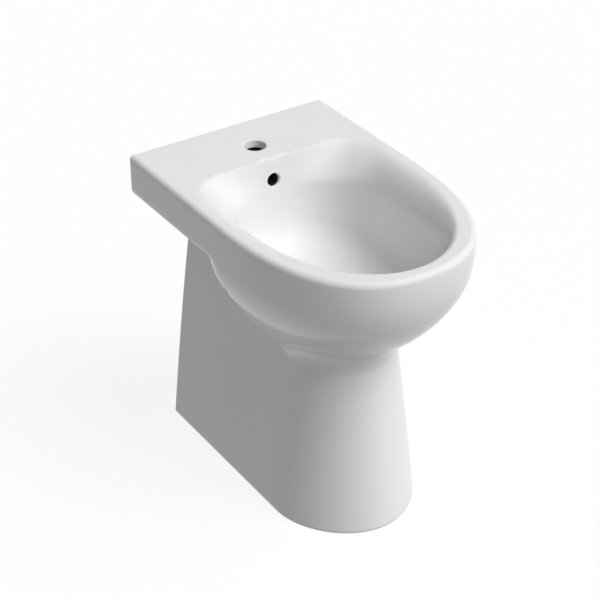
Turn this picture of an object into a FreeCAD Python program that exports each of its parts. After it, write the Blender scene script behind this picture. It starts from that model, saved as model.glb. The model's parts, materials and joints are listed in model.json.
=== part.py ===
import FreeCAD, Part
import math
import os
from FreeCAD import Vector

# A floor-standing, back-to-wall bidet: a china basin on a hollow china pedestal, with a click waste,
# a bottle trap and floor brackets inside. Millimetres, +Z up, the floor at Z = 0, the wall at +Y.
# Places along the depth are distances forward from the wall.

# Overall size
width = 350.0
depth = 515.0
height = 500.0

# Deck and rim
deck_thickness = 12.0
skirt_height = 62.0
skirt_wall = 11.0
side_straight = 250.0
rim_fullness = 0.66
rim_round = 9.0
lip_round = 6.0
deck_seam = 116.0
tap_hole_radius = 17.5
tap_from_wall = 77.0

# Inside of the bowl
rim_side = 27.0
rim_front = 28.0
deck_length = 124.0
opening_front_fullness = 0.62
opening_rear_fullness = 0.88
bowl_depth = 150.0
bowl_squareness = 2.5
rear_squareness = 1.6
corner_squareness = 1.1
bowl_wall = 11.0
bowl_seam_drop = 60.0
floor_thickness = 14.0
bowl_section_count = 8

# Outside of the bowl
edge_drop = 180.0
edge_half = 118.0
edge_wide = 272.0
edge_front = 425.0
edge_fullness = 0.45
bulge_rear = 112.0
side_curve = 1.7
front_curve = 2.4
outside_section_count = 7
skirt_section_count = 3

# Cove between the bowl and the pedestal
joint_drop = 225.0
joint_ledge = 1.2
cove_curve = 2.2
cove_section_count = 5

# Pedestal
foot_half = 117.5
foot_front = 433.0
joint_half = 86.0
joint_front = 397.0
head_half = 55.0
head_front = 368.0
pedestal_straight = 308.0
pedestal_fullness = 0.51
pedestal_wall = 10.0

# Overflow
overflow_radius = 11.0
overflow_drop = 33.0
duct_width = 24.0
duct_depth = 8.0
duct_skin = 6.0
duct_drop = 10.0
duct_radius = 7.0
web_half = 20.0
web_rear_wall = 8.0
web_drop = 28.0

# Drain and waste
drain_from_wall = 305.0
drain_flat = 36.0
drain_hole_radius = 23.0
boss_radius = 40.0
boss_height = 30.0
flange_radius = 32.0
flange_thickness = 3.0
flange_seal_thickness = 2.0
seat_radius = 28.5
seat_depth = 2.0
tail_radius = 20.5
tail_bore = 17.0
tail_length = 90.0
slot_width = 12.0
slot_height = 14.0
hub_radius = 8.0
hub_height = 12.0
hub_drop = 18.0
spoke_width = 4.0
spoke_count = 3
tapered_washer_height = 9.0
tapered_washer_radius = 33.0
tapered_washer_small = 27.0
backnut_height = 11.0
backnut_flats = 54.0

# Click plug
plug_radius = 30.0
plug_rim = 3.0
plug_dome = 6.0
plug_travel = 8.0
plug_gap = 0.3
plug_seal_outer = 27.5
plug_seal_inner = 24.5
spindle_radius = 3.05
spindle_below = 8.0
sleeve_clearance = 0.05
sleeve_radius = 5.0
sleeve_collar_radius = 7.0
sleeve_collar_height = 3.0
sleeve_below = 4.0
spring_wire = 0.9
spring_turn_count = 4
spring_clearance = 0.4

# Bottle trap
pipe_radius = 16.0
pipe_bore = 14.2
pipe_clearance = 0.3
dip_flange_thickness = 3.0
inlet_washer_thickness = 2.0
inlet_washer_bore = 14.2
inlet_nut_above = 14.0
inlet_nut_below = 9.0
inlet_nut_flats = 52.0
trap_drop = 112.0
trap_radius = 35.0
trap_wall = 3.0
trap_above_outlet = 32.0
trap_below_outlet = 38.0
water_seal = 50.0
collar_radius = 22.0
collar_bore = 19.0
collar_length = 14.0
cone_seal_inside = 6.0
cone_seal_outside = 2.0
pipe_nut_lip = 4.0
pipe_nut_cover = 12.0
pipe_nut_flats = 54.0
branch_length = 26.0
branch_stop = 10.0
spigot_length = 60.0
bead_width = 3.0
bead_height = 1.5
cup_depth = 48.0
cup_lap = 14.0
cup_wall = 4.0
cup_seal_thickness = 2.0

# Floor brackets
bracket_from_wall = 90.0
bracket_width = 40.0
bracket_thickness = 3.0
bracket_upright = 46.0
bracket_foot = 45.0
bracket_face = 80.0
slot_radius = 4.25
slot_length = 18.0
slot_from_face = 25.0
clamp_height = 28.0
clamp_radius = 4.0
clamp_hole_clearance = 0.3
clamp_flats = 13.0
clamp_head = 5.3
clamp_nut_height = 6.5
clamp_reach = 15.0
pad_radius = 11.0
pad_seat = 3.0

# Worked out from the sizes above
deck_bottom = height - deck_thickness
skirt_bottom = height - skirt_height
floor_height = height - bowl_depth
boss_bottom = floor_height - boss_height
web_bottom = floor_height - web_drop
duct_bottom = floor_height - duct_drop
edge_height = height - edge_drop
joint_height = height - joint_drop
flange_bottom = floor_height + flange_seal_thickness
tail_bottom = flange_bottom - tail_length
outlet_height = tail_bottom - trap_drop
circle_fullness = 0.5523
hex_corner_count = 6
quarter_count = 4
past = 5.0
tolerance = 1e-4


def place(x, from_wall, z):
    """A point, with its depth counted forward from the wall."""
    return Vector(x, depth / 2 - from_wall, z)


def curve(poles):
    bezier = Part.BezierCurve()
    bezier.setPoles(poles)
    return bezier.toShape()


def quarter(z, side, half, wide, end, fullness):
    """Poles of the curve from the widest point of one side to the middle of the front or rear."""
    reach = end - wide
    return [
        place(side * half, wide, z),
        place(side * half, wide + fullness * reach, z),
        place(side * fullness * half, end, z),
        place(0, end, z),
    ]


def oval(z, half, wide, front, rear, front_fullness, rear_fullness):
    """A closed outline of four quarter curves."""
    right_front = quarter(z, 1, half, wide, front, front_fullness)
    left_front = quarter(z, -1, half, wide, front, front_fullness)
    left_rear = quarter(z, -1, half, wide, rear, rear_fullness)
    right_rear = quarter(z, 1, half, wide, rear, rear_fullness)
    edges = [curve(right_front), curve(left_front[::-1]), curve(left_rear), curve(right_rear[::-1])]
    return Part.Wire(edges)


def arch(z, half, wide, front, rear, fullness):
    """A closed outline with a square back, straight sides and a round front."""
    right = quarter(z, 1, half, wide, front, fullness)
    left = quarter(z, -1, half, wide, front, fullness)
    right_corner = place(half, rear, z)
    left_corner = place(-half, rear, z)
    edges = [
        Part.makeLine(right_corner, right[0]),
        curve(right),
        curve(left[::-1]),
        Part.makeLine(left[0], left_corner),
        Part.makeLine(left_corner, right_corner),
    ]
    return Part.Wire(edges)


def skin(outlines):
    return Part.makeLoft(outlines, True, False)


def prism(outline, rise):
    return Part.Face(outline).extrude(Vector(0, 0, rise))


def block(half, rear, front, bottom, top):
    """A box centred on the middle plane."""
    return Part.makeBox(2 * half, front - rear, top - bottom, place(-half, front, bottom))


def wall():
    """A slab of the wall, which trims the china's back flat."""
    return block(width, -2 * past, 0, -past, height + past)


def steps(first, last, count):
    return [first + (last - first) * i / (count - 1) for i in range(count)]


def mix(first, last, share):
    return first + (last - first) * share


# Solids on the upright axis of the drain
def rod(radius, bottom, top):
    return Part.makeCylinder(radius, top - bottom, place(0, drain_from_wall, bottom))


def ring(outer, inner, bottom, top):
    return rod(outer, bottom, top).cut(rod(inner, bottom, top))


def hex_bar(flats, bottom, top):
    corner_radius = flats / math.sqrt(3)
    corners = []
    for i in range(hex_corner_count + 1):
        angle = 2 * math.pi * i / hex_corner_count
        x = corner_radius * math.cos(angle)
        corners.append(place(x, drain_from_wall + corner_radius * math.sin(angle), bottom))
    return prism(Part.makePolygon(corners), top - bottom)


def turned(profile):
    """A profile of (radius, height) points turned about the drain axis."""
    points = [place(radius, drain_from_wall, z) for radius, z in profile]
    face = Part.Face(Part.makePolygon(points + points[:1]))
    return face.revolve(place(0, drain_from_wall, 0), Vector(0, 0, 1), 360)


# Solids on the level axis of the trap's outlet, which runs back to the wall
def level_rod(radius, front, rear):
    return Part.makeCylinder(radius, front - rear, place(0, front, outlet_height), Vector(0, 1, 0))


def level_ring(outer, inner, front, rear):
    return level_rod(outer, front, rear).cut(level_rod(inner, front, rear))


def outside_shares(z):
    """How far the bowl's side and front still stand out at a height: 1 at the top, 0 at the edge."""
    side = 1 - max(0.0, (skirt_bottom - z) / (skirt_bottom - edge_height)) ** side_curve
    front = 1 - max(0.0, (deck_bottom - z) / (deck_bottom - edge_height)) ** front_curve
    return side, front


def outside_oval(z, inset):
    side, front = outside_shares(z)
    half = mix(edge_half, width / 2, side) - inset
    wide = mix(edge_wide, side_straight, side)
    front_end = mix(edge_front, depth, front) - inset
    rear_end = wide - bulge_rear + inset
    fullness = mix(edge_fullness, rim_fullness, front)
    return oval(z, half, wide, front_end, rear_end, fullness, circle_fullness)


def skirt_arch(z):
    side, front = outside_shares(z)
    front_end = mix(edge_front, depth, front)
    fullness = mix(edge_fullness, rim_fullness, front)
    return arch(z, width / 2, side_straight, front_end, -past, fullness)


def cove_oval(z, inset):
    share = ((z - joint_height) / (edge_height - joint_height)) ** cove_curve
    half = mix(joint_half + joint_ledge, edge_half, share) - inset
    wide = mix(pedestal_straight, edge_wide, share)
    front_end = mix(joint_front + joint_ledge, edge_front, share) - inset
    rear_end = wide - bulge_rear + inset
    fullness = mix(pedestal_fullness, edge_fullness, share)
    return oval(z, half, wide, front_end, rear_end, fullness, circle_fullness)


def bowl_oval(turn, grow, bottom):
    """A level outline of the bowl's inside, from the opening (turn 0) to the drain (turn 90 degrees)."""
    spread = max(0.0, math.cos(turn)) ** (2 / bowl_squareness)
    sink = math.sin(turn) ** (2 / bowl_squareness)
    rear_spread = max(0.0, 1 - sink ** rear_squareness) ** (1 / rear_squareness)
    corner_spread = max(0.0, 1 - sink ** corner_squareness) ** (1 / corner_squareness)
    half = mix(drain_flat, width / 2 - rim_side, spread) + grow
    wide = mix(drain_from_wall, side_straight, spread)
    front = mix(drain_from_wall + drain_flat, depth - rim_front, spread) + grow
    rear = mix(drain_from_wall - drain_flat, deck_length, rear_spread) - grow
    front_fullness = mix(circle_fullness, opening_front_fullness, spread)
    rear_fullness = mix(circle_fullness, opening_rear_fullness, corner_spread)
    z = mix(deck_bottom, bottom, sink)
    return oval(z, half, wide, front, rear, front_fullness, rear_fullness)


def bowl_skin(grow, bottom):
    turns = steps(0.0, math.pi / 2, bowl_section_count)
    return skin([bowl_oval(turn, grow, bottom) for turn in turns])


def bowl_outside():
    """The closed outer form below the deck's skirt: the bowl and its cove."""
    flank = skin([outside_oval(z, 0) for z in steps(skirt_bottom, edge_height, outside_section_count)])
    cove = skin([cove_oval(z, 0) for z in steps(edge_height, joint_height, cove_section_count)])
    return flank.fuse(cove)


def bowl_hollow():
    """The casting's hollow between the outer skin and the bowl, open below."""
    flank = skin([outside_oval(z, bowl_wall) for z in steps(skirt_bottom, edge_height, outside_section_count)])
    cove = skin([cove_oval(z, bowl_wall) for z in steps(edge_height, joint_height, cove_section_count)])
    return flank.fuse(cove)


def edges_along(shape, wire):
    """The edges of a shape whose ends and middle all lie on a wire."""
    found = []
    for edge in shape.Edges:
        first = edge.FirstParameter
        last = edge.LastParameter
        points = [edge.valueAt(first), edge.valueAt((first + last) / 2), edge.valueAt(last)]
        if all(wire.distToShape(Part.Vertex(point))[0] < tolerance for point in points):
            found.append(edge)
    return found


def rim_plate():
    """The top of the deck and rim, with the bowl's opening and both round edges."""
    outline = arch(deck_bottom, width / 2, side_straight, depth, 0, rim_fullness)
    opening = bowl_oval(0.0, 0, deck_bottom)
    plate = prism(outline, deck_thickness).cut(prism(opening, deck_thickness))
    lift = Vector(0, 0, deck_thickness)
    sides_and_front = Part.Wire(outline.Edges[:-1]).translated(lift)
    plate = plate.makeFillet(rim_round, edges_along(plate, sides_and_front))
    return plate.makeFillet(lip_round, edges_along(plate, opening.translated(lift)))


def overflow_web():
    """The thick rib behind and under the bowl that holds the overflow's duct."""
    rear = deck_length - duct_skin - duct_depth - web_rear_wall
    return block(web_half, rear, drain_from_wall, web_bottom, deck_bottom)


def make_china(pieces):
    """The castings of one china body, from the rim down to the pedestal."""
    outside = bowl_outside()
    boss = rod(boss_radius, boss_bottom, floor_height)
    shell = bowl_skin(bowl_wall, floor_height - floor_thickness).fuse(boss)
    cavity = bowl_skin(0, floor_height)
    drain_hole = rod(drain_hole_radius, boss_bottom, floor_height)
    water_way = overflow_way()
    bowl = shell.cut(cavity).cut(water_way).cut(drain_hole)
    below_seam = block(width, -past, depth, 0, height - bowl_seam_drop)
    pieces["bowl_side"] = bowl.cut(below_seam)
    pieces["bowl_floor"] = bowl.common(below_seam)
    pieces["overflow_duct"] = overflow_web().cut(shell).cut(water_way)
    bowl_form = shell.fuse(overflow_web())

    plate = rim_plate()
    deck_space = block(width, -past, deck_seam, deck_bottom - past, height + past)
    pieces["deck"] = plate.common(deck_space).cut(tap_hole())
    pieces["rim"] = plate.cut(deck_space)
    skirt = skin([skirt_arch(z) for z in steps(deck_bottom, skirt_bottom, skirt_section_count)]).cut(wall())
    pocket = block(width / 2 - skirt_wall, skirt_wall, side_straight - bulge_rear, skirt_bottom, deck_bottom)
    pieces["skirt"] = skirt.cut(pocket).cut(bowl_form)

    casing = outside.cut(bowl_hollow()).cut(bowl_form)
    below_edge = block(width, -past, depth, 0, edge_height)
    pieces["apron"] = casing.cut(below_edge)
    pieces["neck"] = casing.common(below_edge)
    walls, inside = pedestal_shell()
    pieces["pedestal"] = walls.cut(outside).cut(bowl_form).cut(pieces["skirt"])
    return inside


def tap_hole():
    return Part.makeCylinder(tap_hole_radius, deck_thickness, place(0, tap_from_wall, deck_bottom))


def overflow_way():
    """The hole in the bowl's rear wall, the duct down behind it and the bore to the drain."""
    hole_height = height - overflow_drop
    duct_front = deck_length - duct_skin
    duct_rear = duct_front - duct_depth
    hole_length = duct_skin + 2 * bowl_wall
    start = place(0, duct_front + hole_length, hole_height)
    hole = Part.makeCylinder(overflow_radius, hole_length + duct_depth / 2, start, Vector(0, 1, 0))
    duct = block(duct_width / 2, duct_rear, duct_front, duct_bottom, hole_height + overflow_radius)
    bore_start = place(0, duct_front - duct_depth / 2, duct_bottom + duct_radius)
    bore_end = place(0, drain_from_wall - drain_hole_radius, boss_bottom + boss_height / 2)
    run = bore_end - bore_start
    bore = Part.makeCylinder(duct_radius, run.Length + past, bore_start, run)
    return hole.fuse(duct).fuse(bore)


def pedestal_shell():
    """The pedestal's walls, open at the back, the bottom and the top, and the space that they enclose."""
    levels = [
        (0.0, foot_half, foot_front),
        (joint_height, joint_half, joint_front),
        (deck_bottom, head_half, head_front),
    ]
    outer = []
    inner = []
    for z, half, front in levels:
        outer.append(arch(z, half, pedestal_straight, front, -past, pedestal_fullness))
        inside_half = half - pedestal_wall
        inside_front = front - pedestal_wall
        inner.append(arch(z, inside_half, pedestal_straight, inside_front, -2 * past, pedestal_fullness))
    inside = skin(inner)
    return skin(outer).cut(inside).cut(wall()), inside


# Waste
def make_waste(pieces):
    flange_top = flange_bottom + flange_thickness
    hub_top = floor_height - hub_drop
    hub_bottom = hub_top - hub_height
    pieces["flange_seal"] = ring(flange_radius, drain_hole_radius, floor_height, flange_bottom)

    body = ring(flange_radius, tail_bore, flange_bottom, flange_top)
    body = body.cut(rod(seat_radius, flange_top - seat_depth, flange_top))
    body = body.fuse(ring(tail_radius, tail_bore, tail_bottom, flange_bottom))
    for i in range(spoke_count):
        spoke = Part.makeBox(tail_radius - sleeve_radius, spoke_width, hub_height)
        spoke.translate(Vector(sleeve_radius, -spoke_width / 2, 0))
        spoke.rotate(Vector(0, 0, 0), Vector(0, 0, 1), 90 + 360 / spoke_count * i)
        spoke.translate(place(0, drain_from_wall, hub_bottom))
        body = body.fuse(spoke.common(rod(tail_radius, hub_bottom, hub_top)))
    body = body.fuse(rod(hub_radius, hub_bottom, hub_top)).cut(rod(sleeve_radius, hub_bottom, hub_top))
    slot_middle = boss_bottom + boss_height / 2
    slot = block(slot_width / 2, drain_from_wall - drain_hole_radius, drain_from_wall + drain_hole_radius,
                 slot_middle - slot_height / 2, slot_middle + slot_height / 2)
    body = body.cut(slot.cut(rod(tail_bore, tail_bottom, flange_bottom)))
    pieces["waste_body"] = body

    washer_bottom = boss_bottom - tapered_washer_height
    pieces["tapered_washer"] = turned([
        (tail_radius, washer_bottom),
        (tapered_washer_small, washer_bottom),
        (tapered_washer_radius, boss_bottom),
        (tail_radius, boss_bottom),
    ])
    nut_bottom = washer_bottom - backnut_height
    pieces["backnut"] = hex_bar(backnut_flats, nut_bottom, washer_bottom).cut(
        rod(tail_radius, nut_bottom, washer_bottom))

    make_plug(pieces, flange_top, hub_bottom, hub_top)


def make_plug(pieces, flange_top, hub_bottom, hub_top):
    cap_bottom = flange_top + plug_gap + plug_travel
    cap_rim = cap_bottom + plug_rim
    sleeve_bottom = hub_bottom - sleeve_below
    collar_top = hub_top + sleeve_collar_height
    sleeve = rod(sleeve_radius, sleeve_bottom, collar_top)
    sleeve = sleeve.fuse(rod(sleeve_collar_radius, hub_top, collar_top))
    sleeve_bore = spindle_radius + sleeve_clearance
    pieces["cartridge_sleeve"] = sleeve.cut(rod(sleeve_bore, sleeve_bottom, collar_top))
    pieces["plug_spindle"] = rod(spindle_radius, sleeve_bottom - spindle_below, cap_bottom)

    dome_radius = (plug_radius ** 2 + plug_dome ** 2) / (2 * plug_dome)
    ball_centre = cap_rim + plug_dome - dome_radius
    ball = Part.makeSphere(dome_radius, place(0, drain_from_wall, ball_centre))
    dome = ball.common(rod(plug_radius, cap_rim, cap_rim + 2 * plug_dome))
    pieces["plug_cap"] = rod(plug_radius, cap_bottom, cap_rim).fuse(dome).removeSplitter()
    seal_bottom = cap_bottom - seat_depth
    pieces["plug_seal"] = ring(plug_seal_outer, plug_seal_inner, seal_bottom, cap_bottom)

    pieces["return_spring"] = make_spring(collar_top, cap_bottom)


def make_spring(bottom, top):
    """A wire wound about the spindle, in quarter-turn arcs."""
    coil_radius = spindle_radius + spring_clearance + spring_wire / 2
    coil_bottom = bottom + spring_wire / 2
    rise = (top - bottom - spring_wire) / (spring_turn_count * quarter_count)

    def point(step):
        angle = 2 * math.pi * step / quarter_count
        x = coil_radius * math.cos(angle)
        return place(x, drain_from_wall + coil_radius * math.sin(angle), coil_bottom + rise * step)

    arcs = []
    for i in range(spring_turn_count * quarter_count):
        arcs.append(Part.Arc(point(i), point(i + 0.5), point(i + 1)).toShape())
    start = arcs[0].tangentAt(arcs[0].FirstParameter)
    section = Part.Wire(Part.makeCircle(spring_wire / 2, point(0), start))
    return Part.Wire(arcs).makePipeShell([section], True, False)


# Trap
def make_trap(pieces):
    washer_bottom = tail_bottom - inlet_washer_thickness
    dip_flange_bottom = washer_bottom - dip_flange_thickness
    pieces["inlet_washer"] = ring(tail_radius, inlet_washer_bore, washer_bottom, tail_bottom)

    nut_bottom = dip_flange_bottom - inlet_nut_below
    nut_top = tail_bottom + inlet_nut_above
    inlet_nut = hex_bar(inlet_nut_flats, nut_bottom, nut_top).cut(rod(tail_radius, dip_flange_bottom, nut_top))
    pieces["inlet_nut"] = inlet_nut.cut(rod(pipe_radius + pipe_clearance, nut_bottom, dip_flange_bottom))

    water_level = outlet_height - pipe_bore
    dip_bottom = water_level - water_seal
    dip = rod(pipe_radius, dip_bottom, dip_flange_bottom).fuse(rod(tail_radius, dip_flange_bottom, washer_bottom))
    pieces["dip_tube"] = dip.cut(rod(pipe_bore, dip_bottom, washer_bottom))

    trap_top = outlet_height + trap_above_outlet
    trap_bottom = outlet_height - trap_below_outlet
    collar_top = trap_top + collar_length
    seal_bottom = collar_top - cone_seal_inside
    seal_top = collar_top + cone_seal_outside
    pieces["dip_seal"] = ring(collar_bore, pipe_radius, seal_bottom, seal_top)
    dip_nut = hex_bar(pipe_nut_flats, collar_top - pipe_nut_cover, seal_top + pipe_nut_lip)
    dip_nut = dip_nut.cut(rod(collar_radius, collar_top - pipe_nut_cover, seal_top))
    pieces["dip_nut"] = dip_nut.cut(rod(pipe_radius + pipe_clearance, seal_top, seal_top + pipe_nut_lip))

    branch_front = drain_from_wall
    branch_rear = drain_from_wall - trap_radius - branch_length
    body = rod(trap_radius, trap_bottom, trap_top).fuse(rod(collar_radius, trap_top, collar_top))
    body = body.fuse(level_rod(collar_radius, branch_front, branch_rear))
    body = body.cut(rod(trap_radius - trap_wall, trap_bottom, trap_top - trap_wall))
    body = body.cut(rod(pipe_radius + pipe_clearance, trap_top - trap_wall, collar_top))
    body = body.cut(rod(collar_bore, seal_bottom, collar_top))
    body = body.cut(level_rod(pipe_bore, branch_front, branch_rear))
    pieces["trap_body"] = body.cut(level_rod(collar_bore, branch_rear + branch_length - branch_stop, branch_rear))

    cup_shoulder = trap_bottom - cup_seal_thickness
    pieces["cup_seal"] = ring(trap_radius, trap_radius - trap_wall, cup_shoulder, trap_bottom)
    cup_bottom = cup_shoulder - cup_depth
    cup = rod(trap_radius, cup_bottom, cup_shoulder)
    lap_top = trap_bottom + cup_lap
    cup = cup.fuse(rod(trap_radius + cup_wall, cup_shoulder - cup_wall, lap_top))
    cup = cup.cut(rod(trap_radius - trap_wall, cup_bottom + trap_wall, cup_shoulder))
    pieces["trap_cup"] = cup.cut(rod(trap_radius, cup_shoulder, lap_top))

    seal_front = branch_rear + cone_seal_inside
    seal_rear = branch_rear - cone_seal_outside
    pieces["outlet_seal"] = level_ring(collar_bore, pipe_radius, seal_front, seal_rear)
    nut_front = branch_rear + pipe_nut_cover
    nut_rear = seal_rear - pipe_nut_lip
    nut = hex_bar(pipe_nut_flats, 0, nut_front - nut_rear)
    nut.translate(place(0, drain_from_wall, 0) * -1)
    nut.rotate(Vector(0, 0, 0), Vector(1, 0, 0), -90)
    nut.translate(place(0, nut_front, outlet_height))
    nut = nut.cut(level_rod(collar_radius, nut_front, seal_rear))
    pieces["outlet_nut"] = nut.cut(level_rod(pipe_radius + pipe_clearance, seal_rear, nut_rear))
    pipe_front = branch_rear + branch_length - branch_stop
    pipe = level_ring(pipe_radius, pipe_bore, pipe_front, 0)
    bead = level_ring(pipe_radius + bead_height, pipe_bore, spigot_length + bead_width, spigot_length)
    pieces["outlet_pipe"] = pipe.fuse(bead)


# Floor brackets, one on each side inside the pedestal
def cross_rod(radius, start, end):
    return Part.makeCylinder(radius, end - start, place(start, bracket_from_wall, clamp_height), Vector(1, 0, 0))


def cross_hex(start, end):
    bar = hex_bar(clamp_flats, 0, end - start)
    bar.translate(place(0, drain_from_wall, 0) * -1)
    bar.rotate(Vector(0, 0, 0), Vector(0, 1, 0), 90)
    bar.translate(place(start, bracket_from_wall, clamp_height))
    return bar


def make_bracket(pedestal_inside):
    """The right-hand bracket, its screw, nut and pad."""
    rear = bracket_from_wall - bracket_width / 2
    front = bracket_from_wall + bracket_width / 2
    inner_face = bracket_face - bracket_thickness
    upright = Part.makeBox(bracket_thickness, bracket_width, bracket_upright, place(inner_face, front, 0))
    foot = Part.makeBox(bracket_foot, bracket_width, bracket_thickness, place(bracket_face - bracket_foot, front, 0))
    slot_middle = bracket_face - slot_from_face
    slot_run = slot_length / 2 - slot_radius
    slot = Part.makeBox(2 * slot_run, 2 * slot_radius, bracket_thickness,
                        place(slot_middle - slot_run, bracket_from_wall + slot_radius, 0))
    for end in (slot_middle - slot_run, slot_middle + slot_run):
        slot = slot.fuse(Part.makeCylinder(slot_radius, bracket_thickness, place(end, bracket_from_wall, 0)))
    hole = cross_rod(clamp_radius + clamp_hole_clearance, inner_face, bracket_face)
    bracket = upright.fuse(foot).removeSplitter().cut(slot).cut(hole)

    tip = bracket_face + clamp_reach
    nut_start = inner_face - clamp_nut_height
    head_start = nut_start - clamp_head
    screw = cross_rod(clamp_radius, nut_start, tip).fuse(cross_hex(head_start, nut_start))
    nut = cross_hex(nut_start, inner_face).cut(cross_rod(clamp_radius, nut_start, inner_face))
    pad = cross_rod(pad_radius, tip - pad_seat, foot_half).common(pedestal_inside)
    pad = pad.cut(cross_rod(clamp_radius, tip - pad_seat, tip))
    return bracket, screw, nut, pad


def mirrored(shape):
    return shape.mirror(Vector(0, 0, 0), Vector(1, 0, 0))


def pair(shape):
    return Part.makeCompound([shape, mirrored(shape)])


def make_fixings(pieces, pedestal_inside):
    bracket, screw, nut, pad = make_bracket(pedestal_inside)
    pieces["floor_bracket_right"] = bracket
    pieces["floor_bracket_left"] = mirrored(bracket)
    pieces["clamp_screws"] = pair(screw)
    pieces["clamp_nuts"] = pair(nut)
    pieces["grip_pads"] = pair(pad)


def make_pieces():
    pieces = {}
    pedestal_inside = make_china(pieces)
    make_waste(pieces)
    make_trap(pieces)
    make_fixings(pieces, pedestal_inside)
    return pieces


os.makedirs("parts", exist_ok=True)
for name, shape in make_pieces().items():
    shape.exportStep("parts/" + name + ".step")
    print(name, len(shape.Solids), shape.isValid(), round(shape.Volume))
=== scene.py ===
import bpy
import bmesh
import json
import math
from mathutils import Matrix, Vector
from mathutils.geometry import intersect_point_line


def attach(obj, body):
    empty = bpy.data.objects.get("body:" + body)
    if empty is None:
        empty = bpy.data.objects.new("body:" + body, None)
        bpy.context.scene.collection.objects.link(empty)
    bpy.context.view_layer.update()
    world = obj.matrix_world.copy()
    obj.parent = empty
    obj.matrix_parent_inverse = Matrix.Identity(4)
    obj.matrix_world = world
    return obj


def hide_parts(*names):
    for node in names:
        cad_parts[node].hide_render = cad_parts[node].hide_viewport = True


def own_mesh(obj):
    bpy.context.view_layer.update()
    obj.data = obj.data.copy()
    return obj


# A floor-standing, back-to-wall bidet in white glaze, with its waste, trap and floor brackets.
# Sizes are millimetres, and places along the depth are distances forward from the wall.

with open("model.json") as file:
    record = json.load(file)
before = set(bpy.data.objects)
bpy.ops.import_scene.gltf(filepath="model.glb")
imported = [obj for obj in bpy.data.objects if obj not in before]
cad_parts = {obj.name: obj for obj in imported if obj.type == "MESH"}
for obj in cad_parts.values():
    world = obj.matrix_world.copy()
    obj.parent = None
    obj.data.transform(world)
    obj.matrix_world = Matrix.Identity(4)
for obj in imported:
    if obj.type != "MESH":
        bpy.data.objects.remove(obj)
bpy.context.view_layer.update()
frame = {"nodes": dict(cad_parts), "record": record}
nodes = frame["nodes"]

# Overall size, heights and walls of the china
half_width = 175.0
depth = 515.0
top = 500.0
deck_under = 488.0
skirt_foot = 438.0
edge_level = 320.0
joint_level = 275.0
basin_wall = 11.0
pedestal_wall = 10.0

# Outside of the basin, from its widest place to the bowl's lower edge
widest = 250.0
rim_fullness = 0.66
edge_widest = 272.0
edge_half = 118.0
edge_front = 425.0
edge_fullness = 0.45
front_draw = 2.4
side_draw = 1.7
rear_reach = 112.0

# Joint of the basin with the pedestal, and the pedestal at its foot, its joint and its head
joint_half = 87.2
joint_front = 398.2
cove_bend = 2.2
pedestal_widest = 308.0
pedestal_fullness = 0.51
pedestal_halves = (117.5, 86.0, 55.0)
pedestal_fronts = (433.0, 397.0, 368.0)

# Bowl: its wall, the turn to its flat floor, and its underside
bowl_top = 480.0
bowl_floor = 350.0
bowl_under = 336.0
bowl_half = 118.0
bowl_front = 475.0
bowl_rear = 126.0
bowl_rear_low = 145.0
bowl_front_fullness = 0.70
bowl_rear_fullness = 0.60
bowl_rear_wall = 9.0
bowl_drop = 0.8
side_hold, side_bend = 5.6, 0.3
rear_hold, rear_bend = 6.4, 0.25
flat_radius = 36.0

# Opening in the flat top, and how far its lip keeps to the top and to the bowl's wall
opening_half = 159.0
opening_front = 497.0
opening_rear = 124.0
opening_front_fullness = 0.58
opening_rear_fullness = 0.96
lip_turn = 10.0
side_flat_pull = 20.0
front_flat_pull = 12.0
deck_flat_pull = 4.0
soft_wall_pull = 24.0
deck_wall_pull = 12.0

# Drain, overflow, tap hole and the hollow under the deck
drain_from_wall = 305.0
drain_radius = 23.0
boss_radius = 40.0
boss_foot = 320.0
overflow_radius = 10.3
tap_hole_radius = 16.9
tap_hole_from_wall = 77.0
hollow_front = 113.0
hollow_foot = 420.0

# Axes of the outlet pipe and of the bracket's clamp
outlet_level = 150.0
clamp_from_wall = 90.0
clamp_level = 28.0

# Soft edges of the glaze
rim_round = 9.0
back_round = 2.5
skirt_round = 4.0
corner_round = 4.0

# Rings of the skirt's foot. A round edge rises and steps in by shares of its radius. An edge that
# runs out into the bowl rises by millimetres and steps in by a share of the gap.
foot_steps = (
    {"round_rise": 1.0, "round_inset": 0.0, "run_out_rise": 7.0, "run_out_inset": 0.0},
    {"round_rise": 0.293, "round_inset": 0.293, "run_out_rise": 3.5, "run_out_inset": 0.15},
    {"round_rise": 0.0, "round_inset": 1.0, "run_out_rise": 0.0, "run_out_inset": 0.45},
)
full_overhang = 10.0
gap_for_radius = 0.4
run_out_drop = 6.0

# Stations round each level ring of the basin
stations = 192
quarter_stations = 48
corner_starts = 21 / quarter_stations
corner_ends = 27 / quarter_stations

# Fullness that makes a quarter of a curve round
round_fullness = 0.5523


def spot(x, from_wall, z):
    """A place in metres from millimetres, with the depth counted forward from the wall."""
    return Vector((x, depth / 2 - from_wall, z)) / 1000


def mix(first, last, share):
    return first + (last - first) * share


def ease(share):
    """A share that starts and ends softly."""
    share = min(1.0, max(0.0, share))
    return share * share * (3 - 2 * share)


def spread_out(first, last, count):
    return [mix(first, last, number / (count - 1)) for number in range(count)]


# Curves round the china
def bend_weights(share):
    """Weights of the four points that draw a bend, at a share of its way."""
    left = 1 - share
    return left ** 3, 3 * share * left ** 2, 3 * share ** 2 * left, share ** 3


def on_quarter(half, wide, end, fullness, share):
    """The curve from the widest place of a side (share 0) to the middle of front or rear (1)."""
    start, near, far, last = bend_weights(share)
    x = half * (start + near + fullness * far)
    from_wall = wide * start + mix(wide, end, fullness) * near + end * (far + last)
    return x, from_wall


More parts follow.
